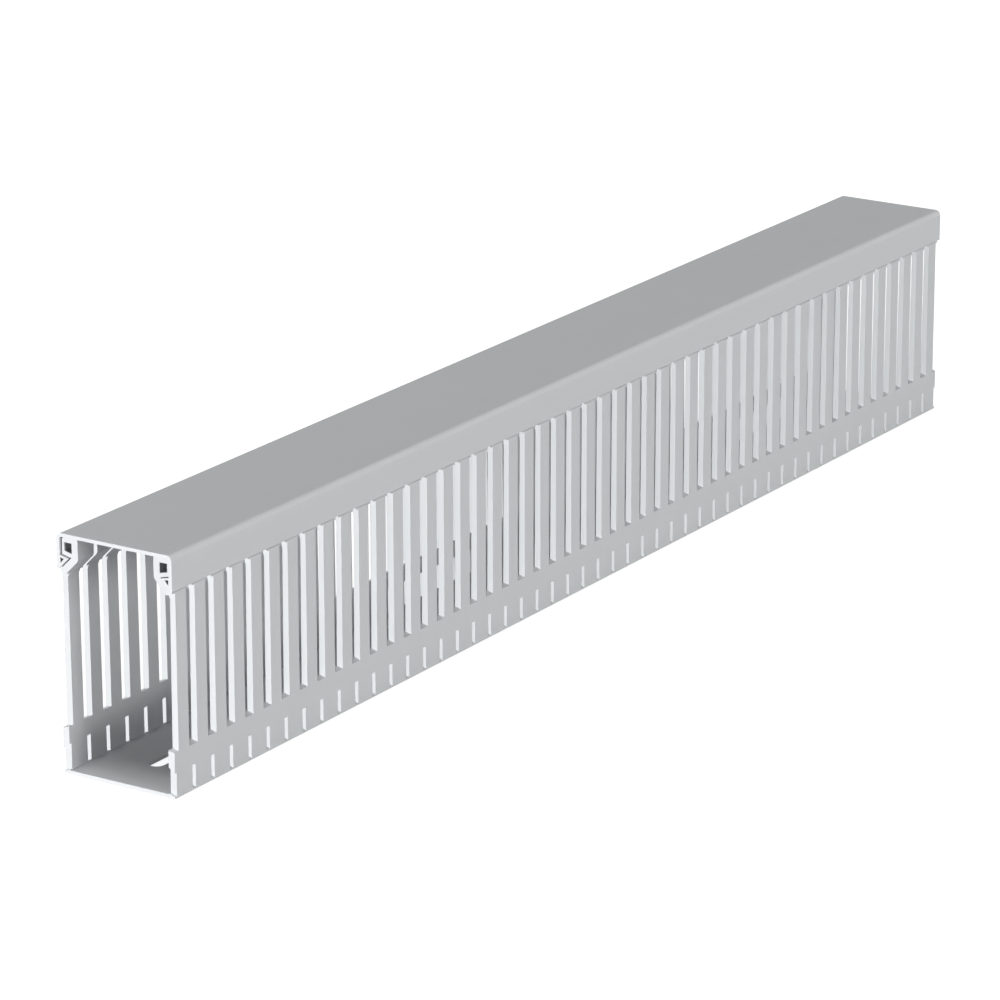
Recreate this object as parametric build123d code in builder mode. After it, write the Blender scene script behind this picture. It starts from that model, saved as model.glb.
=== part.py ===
from build123d import *
from math import radians, sqrt, tan
import os

# Slotted wire duct: one punched U-shaped length of rigid PVC with free-standing
# fingers along both sides, and one clip-on cover that hooks over the finger heads.
# X runs along the duct, Y across it and Z up; the origin is under the middle of the base.

# How close two coordinates count as the same when corners are picked
tiny = 0.01

# Overall sizes
length = 500.0
height = 80.0
base_width = 43.5
base_wall = 2.0
base_wall_root = 2.45
floor_thickness = 1.3

# Slots between the fingers: a wide one between the legs, a narrow one between the heads
slot_pitch = 10.0
slot_width = 4.4
slot_bottom = 15.4
slot_bottom_slant = 0.25
slot_top_drop = 0.25
slot_top_slant = 0.35
head_slit_width = 1.8

# Small break-off slots below them, slanting up from the outer face to the inner one
small_slot_width = 1.8
small_slot_top = 8.6
small_slot_top_slant = 0.7
small_slot_dip = 0.6
small_slot_bottom_slant = 0.35

# Fixing holes along the middle of the floor
fixing_pitch = 50.0
fixing_slot_length = 16.0
fixing_slot_width = 5.5
fixing_hole_diameter = 4.5

# Cover
cover_plate = 1.2
cover_wall = 1.2
cover_overhang = 0.5
cover_corner_radius = 2.0
cover_inner_radius = 0.8

# Finger head, drawn by its depth inward from the outer face of the wall
head_depth = 7.1
head_chamfer = 0.9
head_shell = 0.9
head_crown = 1.9
head_sole = 1.45
head_inner_wall = 2.35
lip_drop = 5.9
lip_angle = 13.5
notch_depth = 4.5
neck_web = 2.3
neck_chamfer = 1.25
head_root_chamfer = 0.5
base_edge_radius = 0.5

# Hook on the cover's skirt
hook_tip_blunt = 0.25
hook_cell_skin = 0.2
hook_cell_sole = 1.3
hook_cell_roof = 0.75
hook_cell_width = 1.4

# Clearances between the base and the cover
skirt_clearance = 0.3
skirt_end_clearance = 0.8
hook_lift = 0.4
hook_tip_clearance = 0.6
hook_top_clearance = 0.2

# How far the slot cuts run past both faces of the wall
punch_reach = 1.0

# Sizes worked out from the ones above
half_length = length / 2
half_width = base_width / 2
slot_count = round(length / slot_pitch) + 1
fixing_count = round(length / fixing_pitch)
plate_underside = height - cover_plate
skirt_depth = cover_wall - cover_overhang
lip_slope = tan(radians(lip_angle))

# Head: the notch lies between the lip and the shoulder, which rises at 45 degrees from the wall
lip_depth = skirt_depth + skirt_clearance
lip_height = plate_underside - lip_drop
notch_tip_height = lip_height - lip_slope * (notch_depth - lip_depth)
shoulder_height = notch_tip_height - notch_depth
neck_height = shoulder_height + base_wall - neck_web * sqrt(2)
head_root_height = shoulder_height + head_depth - neck_web * sqrt(2)
hollow_outer = lip_depth + head_shell
hollow_inner = head_depth - head_inner_wall
hollow_top = plate_underside - head_crown
hollow_bottom_outer = lip_height + head_sole - lip_slope * head_shell
hollow_bottom_inner = lip_height + head_sole - lip_slope * (hollow_inner - lip_depth)

# Slot cuts: heights where they leave the wall, outside and inside
punch_outer = half_width + punch_reach
punch_depth = base_wall_root + punch_reach
punch_inner = half_width - punch_depth
slot_top = shoulder_height - slot_top_drop
slot_top_outer = slot_top + slot_top_slant * punch_reach
slot_top_inner = slot_top - slot_top_slant * punch_depth
slot_bottom_outer = slot_bottom - slot_bottom_slant * punch_reach
slot_bottom_inner = slot_bottom + slot_bottom_slant * punch_depth
small_slot_bottom = floor_thickness - small_slot_dip
small_top_outer = small_slot_top - small_slot_top_slant * punch_reach
small_top_inner = small_slot_top + small_slot_top_slant * punch_depth
small_bottom_outer = small_slot_bottom - small_slot_bottom_slant * punch_reach
small_bottom_inner = small_slot_bottom + small_slot_bottom_slant * punch_depth
slot_planes = [Plane.YZ.offset(slot_pitch * i - half_length) for i in range(slot_count)]

# Cover: the skirt ends just above the shoulder, and the hook fills the notch with clearance
skirt_bottom = shoulder_height + skirt_end_clearance
hook_foot = skirt_end_clearance - hook_lift
hook_tip = notch_depth - hook_tip_clearance
hook_tip_bottom = shoulder_height + hook_lift + hook_tip - hook_tip_blunt
hook_root_top = lip_height - hook_top_clearance + lip_slope * skirt_clearance
hook_tip_top = hook_root_top - lip_slope * (hook_tip - skirt_depth)
cell_outer = skirt_depth + hook_cell_skin
cell_inner = cell_outer + hook_cell_width
cell_bottom = shoulder_height + hook_lift + cell_outer + hook_cell_sole
cell_top = hook_root_top - hook_cell_roof
cell_tip = cell_top - lip_slope * hook_cell_width


# Corners of a section at one height, from the left to the right
def corners_at(section, level):
    corners = section.vertices().filter_by(lambda v: abs(v.Y - level) < tiny)
    return corners.sort_by(Axis.X)


# Base: floor, two walls and the hollow finger heads as one profile along X
with BuildPart() as duct_base:
    with BuildSketch(Plane.YZ.offset(-half_length)) as base_section:
        with BuildLine():
            Polyline(
                (0, 0),
                (half_width, 0),
                (half_width, shoulder_height),
                (half_width - notch_depth, notch_tip_height),
                (half_width - lip_depth, lip_height),
                (half_width - lip_depth, plate_underside),
                (half_width - head_depth, plate_underside),
                (half_width - head_depth, head_root_height),
                (half_width - base_wall, neck_height),
                (half_width - base_wall_root, floor_thickness),
                (0, floor_thickness),
            )
            mirror(about=Plane.YZ)
        make_face()

        # Softened corners of the extruded profile
        chamfer(corners_at(base_section, neck_height), neck_chamfer)
        chamfer(corners_at(base_section, head_root_height), head_root_chamfer)
        head_tops = corners_at(base_section, plate_underside)
        chamfer([head_tops[0], head_tops[-1]], head_chamfer)
        base_edges = corners_at(base_section, 0)
        fillet([base_edges[0], base_edges[-1]], base_edge_radius)

        # Closed hollow inside each head, left and right
        for side in (1, -1):
            with BuildLine():
                Polyline(
                    (side * (half_width - hollow_outer), hollow_bottom_outer),
                    (side * (half_width - hollow_inner), hollow_bottom_inner),
                    (side * (half_width - hollow_inner), hollow_top),
                    (side * (half_width - hollow_outer), hollow_top),
                    close=True,
                )
            make_face(mode=Mode.SUBTRACT)
    extrude(amount=length)

    # Wide slots from above the lower band to just under the shoulder; both ends are cut mid-slot
    with BuildSketch(*slot_planes):
        with BuildLine():
            Polyline(
                (0, slot_bottom_inner),
                (punch_inner, slot_bottom_inner),
                (punch_outer, slot_bottom_outer),
                (punch_outer, slot_top_outer),
                (punch_inner, slot_top_inner),
                (0, slot_top_inner),
            )
            mirror(about=Plane.YZ)
        make_face()
    extrude(amount=slot_width / 2, both=True, mode=Mode.SUBTRACT)

    # Narrow slits from the wide slots up between the heads
    with Locations((0, 0, slot_top_inner)):
        with GridLocations(slot_pitch, 1, slot_count, 1):
            Box(
                head_slit_width,
                base_width + 2 * punch_reach,
                height,
                align=(Align.CENTER, Align.CENTER, Align.MIN),
                mode=Mode.SUBTRACT,
            )

    # Small break-off slots through the walls, just above the floor
    with BuildSketch(*slot_planes):
        with BuildLine():
            Polyline(
                (0, small_bottom_inner),
                (punch_inner, small_bottom_inner),
                (punch_outer, small_bottom_outer),
                (punch_outer, small_top_outer),
                (punch_inner, small_top_inner),
                (0, small_top_inner),
            )
            mirror(about=Plane.YZ)
        make_face()
    extrude(amount=small_slot_width / 2, both=True, mode=Mode.SUBTRACT)

    # Fixing slots and round holes in turn along the middle of the floor
    with BuildSketch(Plane.XY):
        with GridLocations(fixing_pitch, 1, fixing_count, 1):
            SlotOverall(fixing_slot_length, fixing_slot_width)
        with GridLocations(fixing_pitch, 1, fixing_count - 1, 1):
            Circle(fixing_hole_diameter / 2)
    extrude(amount=floor_thickness, mode=Mode.SUBTRACT)

duct_base.part.label = "duct_base"

# Cover: flat plate, two skirts and an inward hook with a small closed cell on each skirt
with BuildPart() as duct_cover:
    with BuildSketch(Plane.YZ.offset(-half_length)) as cover_section:
        with BuildLine():
            Polyline(
                (0, height),
                (half_width + cover_overhang, height),
                (half_width + cover_overhang, skirt_bottom),
                (half_width - hook_foot, skirt_bottom),
                (half_width - hook_tip + hook_tip_blunt, hook_tip_bottom),
                (half_width - hook_tip, hook_tip_top),
                (half_width - skirt_depth, hook_root_top),
                (half_width - skirt_depth, plate_underside),
                (0, plate_underside),
            )
            mirror(about=Plane.YZ)
        make_face()

        # Rounded long edges outside, small root radius inside
        outer_edges = corners_at(cover_section, height)
        fillet([outer_edges[0], outer_edges[-1]], cover_corner_radius)
        roots = corners_at(cover_section, plate_underside)
        fillet([roots[0], roots[-1]], cover_inner_radius)

        # Small closed cell inside each hook, left and right
        for side in (1, -1):
            with BuildLine():
                Polyline(
                    (side * (half_width - cell_outer), cell_bottom),
                    (side * (half_width - cell_outer), cell_top),
                    (side * (half_width - cell_inner), cell_tip),
                    close=True,
                )
            make_face(mode=Mode.SUBTRACT)
    extrude(amount=length)

duct_cover.part.label = "duct_cover"

os.makedirs("parts", exist_ok=True)
export_step(duct_base.part, "parts/duct_base.step")
export_step(duct_cover.part, "parts/duct_cover.step")
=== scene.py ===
import math

import bpy
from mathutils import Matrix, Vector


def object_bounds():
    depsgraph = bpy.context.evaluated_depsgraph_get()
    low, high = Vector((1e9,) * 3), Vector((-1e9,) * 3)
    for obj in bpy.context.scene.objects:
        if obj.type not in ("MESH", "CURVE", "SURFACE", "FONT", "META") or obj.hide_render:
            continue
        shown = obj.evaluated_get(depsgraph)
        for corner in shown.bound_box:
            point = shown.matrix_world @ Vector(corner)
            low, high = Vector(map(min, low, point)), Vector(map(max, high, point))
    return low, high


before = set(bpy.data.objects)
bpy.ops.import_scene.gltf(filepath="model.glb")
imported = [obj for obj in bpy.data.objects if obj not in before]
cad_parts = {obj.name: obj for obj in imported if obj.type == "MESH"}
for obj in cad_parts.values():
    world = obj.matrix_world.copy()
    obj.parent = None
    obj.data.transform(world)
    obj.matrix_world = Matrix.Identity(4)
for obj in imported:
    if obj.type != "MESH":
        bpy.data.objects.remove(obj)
bounds_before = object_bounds()
middle = [(low + high) / 2 for low, high in zip(*bounds_before)]


# Plain grey of one level, with the alpha that colour sockets need
def grey(level):
    return (level, level, level, 1.0)


# Surface that shows the camera one shader and gives all other light another
def split_by_camera(tree, for_light, for_camera, output):
    path = tree.nodes.new("ShaderNodeLightPath")
    mix = tree.nodes.new("ShaderNodeMixShader")
    tree.links.new(path.outputs["Is Camera Ray"], mix.inputs["Fac"])
    tree.links.new(for_light, mix.inputs[1])
    tree.links.new(for_camera, mix.inputs[2])
    tree.links.new(mix.outputs["Shader"], output.inputs["Surface"])


# Plastic: dull light-grey rigid PVC with a very fine mottle and faint extrusion lines along X
plastic_tone = (0.543, 0.556, 0.566)
plastic_gloss = 0.35
roughness_range = (0.46, 0.56)
mottle_scale = 60.0
mottle_spread = 0.015
line_scale = (3.0, 700.0, 700.0)
line_height = 0.00004
edge_radius = 0.00015
duct_line_strength = 0.15
cover_line_strength = 0.10


def plastic(name, line_strength):
    material = bpy.data.materials.new(name)
    material.use_nodes = True
    nodes, links = material.node_tree.nodes, material.node_tree.links
    shader = nodes["Principled BSDF"]
    shader.inputs["Specular IOR Level"].default_value = plastic_gloss
    place = nodes.new("ShaderNodeTexCoord")

    # Mottle, a little darker and lighter than the tone
    mottle = nodes.new("ShaderNodeTexNoise")
    mottle.inputs["Scale"].default_value = mottle_scale
    mottle.inputs["Detail"].default_value = 4.0
    links.new(place.outputs["Object"], mottle.inputs["Vector"])
    shade = nodes.new("ShaderNodeMixRGB")
    darker = [part * (1 - mottle_spread) for part in plastic_tone]
    lighter = [part * (1 + mottle_spread) for part in plastic_tone]
    shade.inputs["Color1"].default_value = (*darker, 1.0)
    shade.inputs["Color2"].default_value = (*lighter, 1.0)
    links.new(mottle.outputs["Fac"], shade.inputs["Fac"])
    links.new(shade.outputs["Color"], shader.inputs["Base Color"])

    # Extrusion lines, in the roughness and in the bump
    stretch = nodes.new("ShaderNodeMapping")
    stretch.inputs["Scale"].default_value = line_scale
    links.new(place.outputs["Object"], stretch.inputs["Vector"])
    lines = nodes.new("ShaderNodeTexNoise")
    lines.inputs["Scale"].default_value = 1.0
    lines.inputs["Detail"].default_value = 3.0
    links.new(stretch.outputs["Vector"], lines.inputs["Vector"])
    rough = nodes.new("ShaderNodeMapRange")
    rough.inputs["To Min"].default_value, rough.inputs["To Max"].default_value = roughness_range
    links.new(lines.outputs["Fac"], rough.inputs["Value"])
    links.new(rough.outputs["Result"], shader.inputs["Roughness"])
    bump = nodes.new("ShaderNodeBump")
    bump.inputs["Strength"].default_value = line_strength
    bump.inputs["Distance"].default_value = line_height
    links.new(lines.outputs["Fac"], bump.inputs["Height"])

    # Edges softened in the shading only
    bevel = nodes.new("ShaderNodeBevel")
    bevel.samples = 6
    bevel.inputs["Radius"].default_value = edge_radius
    links.new(bevel.outputs["Normal"], bump.inputs["Normal"])
    links.new(bump.outputs["Normal"], shader.inputs["Normal"])
    return material


duct_grey = plastic("duct_grey", duct_line_strength)
cover_grey = plastic("cover_grey", cover_line_strength)
for name, material in (("duct_base", duct_grey), ("duct_cover", cover_grey)):
    node = bpy.data.objects[name]
    node.data.materials.clear()
    node.data.materials.append(material)

# Floor: near white to the camera, where it keeps a faint shadow, and a plain pale matt to the light
floor_reach = 6.0
floor_matt = 0.55
floor_glow = 0.88
floor_shadow_part = 0.30

floor_mesh = bpy.data.meshes.new("floor")
floor_signs = ((-1, -1), (1, -1), (1, 1), (-1, 1))
floor_corners = [(floor_reach * x, floor_reach * y, 0) for x, y in floor_signs]
floor_mesh.from_pydata(floor_corners, [], [(0, 1, 2, 3)])
floor = bpy.data.objects.new("floor", floor_mesh)
bpy.context.scene.collection.objects.link(floor)

floor_white = bpy.data.materials.new("floor_white")
floor_white.use_nodes = True
nodes, links = floor_white.node_tree.nodes, floor_white.node_tree.links
nodes.remove(nodes["Principled BSDF"])
matt = nodes.new("ShaderNodeBsdfDiffuse")
matt.inputs["Color"].default_value = grey(floor_matt)
shaded = nodes.new("ShaderNodeBsdfDiffuse")
shaded.inputs["Color"].default_value = grey(floor_shadow_part)
glow = nodes.new("ShaderNodeEmission")
glow.inputs["Color"].default_value = grey(1.0)
glow.inputs["Strength"].default_value = floor_glow
seen = nodes.new("ShaderNodeAddShader")
links.new(shaded.outputs["BSDF"], seen.inputs[0])
links.new(glow.outputs["Emission"], seen.inputs[1])
floor_output = nodes["Material Output"]
split_by_camera(floor_white.node_tree, matt.outputs["BSDF"], seen.outputs["Shader"], floor_output)
floor.data.materials.append(floor_white)

# Surroundings: plain white to the camera, a weak even fill on the object
fill_strength = 0.08
backdrop_strength = 1.05

world = bpy.data.worlds.new("studio")
bpy.context.scene.world = world
world.use_nodes = True
nodes = world.node_tree.nodes
fill = nodes["Background"]
fill.inputs["Color"].default_value = grey(1.0)
fill.inputs["Strength"].default_value = fill_strength
backdrop = nodes.new("ShaderNodeBackground")
backdrop.inputs["Color"].default_value = grey(1.0)
backdrop.inputs["Strength"].default_value = backdrop_strength
world_output = nodes["World Output"]
split_by_camera(world.node_tree, fill.outputs["Background"], backdrop.outputs["Background"], world_output)


# Lamps
def add_lamp(name, kind, energy):
    data = bpy.data.lights.new(name, kind)
    data.energy = energy
    lamp = bpy.data.objects.new(name, data)
    bpy.context.scene.collection.objects.link(lamp)
    return lamp


# Square lamp, turned towards the middle of the object
def near_lamp(name, energy, place, size):
    lamp = add_lamp(name, "AREA", energy)
    lamp.data.shape = "SQUARE"
    lamp.data.size = size
    aim = [target - start for target, start in zip(middle, place)]
    tilt = math.atan2(math.hypot(aim[0], aim[1]), -aim[2])
    heading = math.atan2(aim[1], aim[0])
    lamp.location = place
    lamp.rotation_euler = (tilt, 0, heading - math.pi / 2)
    return lamp


# Even soft light over the whole length, with its angular size, height and heading in degrees
def far_lamp(name, energy, spread, height, heading):
    lamp = add_lamp(name, "SUN", energy)
    lamp.data.angle = math.radians(spread)
    lamp.rotation_euler = (math.radians(90 - height), 0, math.radians(heading - 90))


# The key shines along the duct on the end faces of the fingers, without shadow and gloss
key = near_lamp("key_along_the_duct", energy=50, place=(-2.2, 0.0, middle[2]), size=0.2)
key.data.use_shadow = False
key.visible_glossy = False
near_lamp("back_fill", energy=60, place=(1.4, 3.1, 0.6), size=1.6)
far_lamp("side_light", energy=3.05, spread=30, height=4, heading=87)
far_lamp("top_light", energy=1.53, spread=18, height=84, heading=-20)

# Camera: the photograph's view through a long lens, fitted to the slots and the outline
camera_place = (-1.41893, -0.89721, 0.56656)
camera_turn = (72.1669, 0.1127, -57.1809)
camera_data = bpy.data.cameras.new("camera")
camera_data.sensor_width = 36
camera_data.lens = 180.3
camera_data.clip_end = 20
camera = bpy.data.objects.new("camera", camera_data)
bpy.context.scene.collection.objects.link(camera)
camera.location = camera_place
camera.rotation_euler = [math.radians(angle) for angle in camera_turn]
bpy.context.scene.camera = camera

bpy.context.scene.view_settings.view_transform = "Standard"
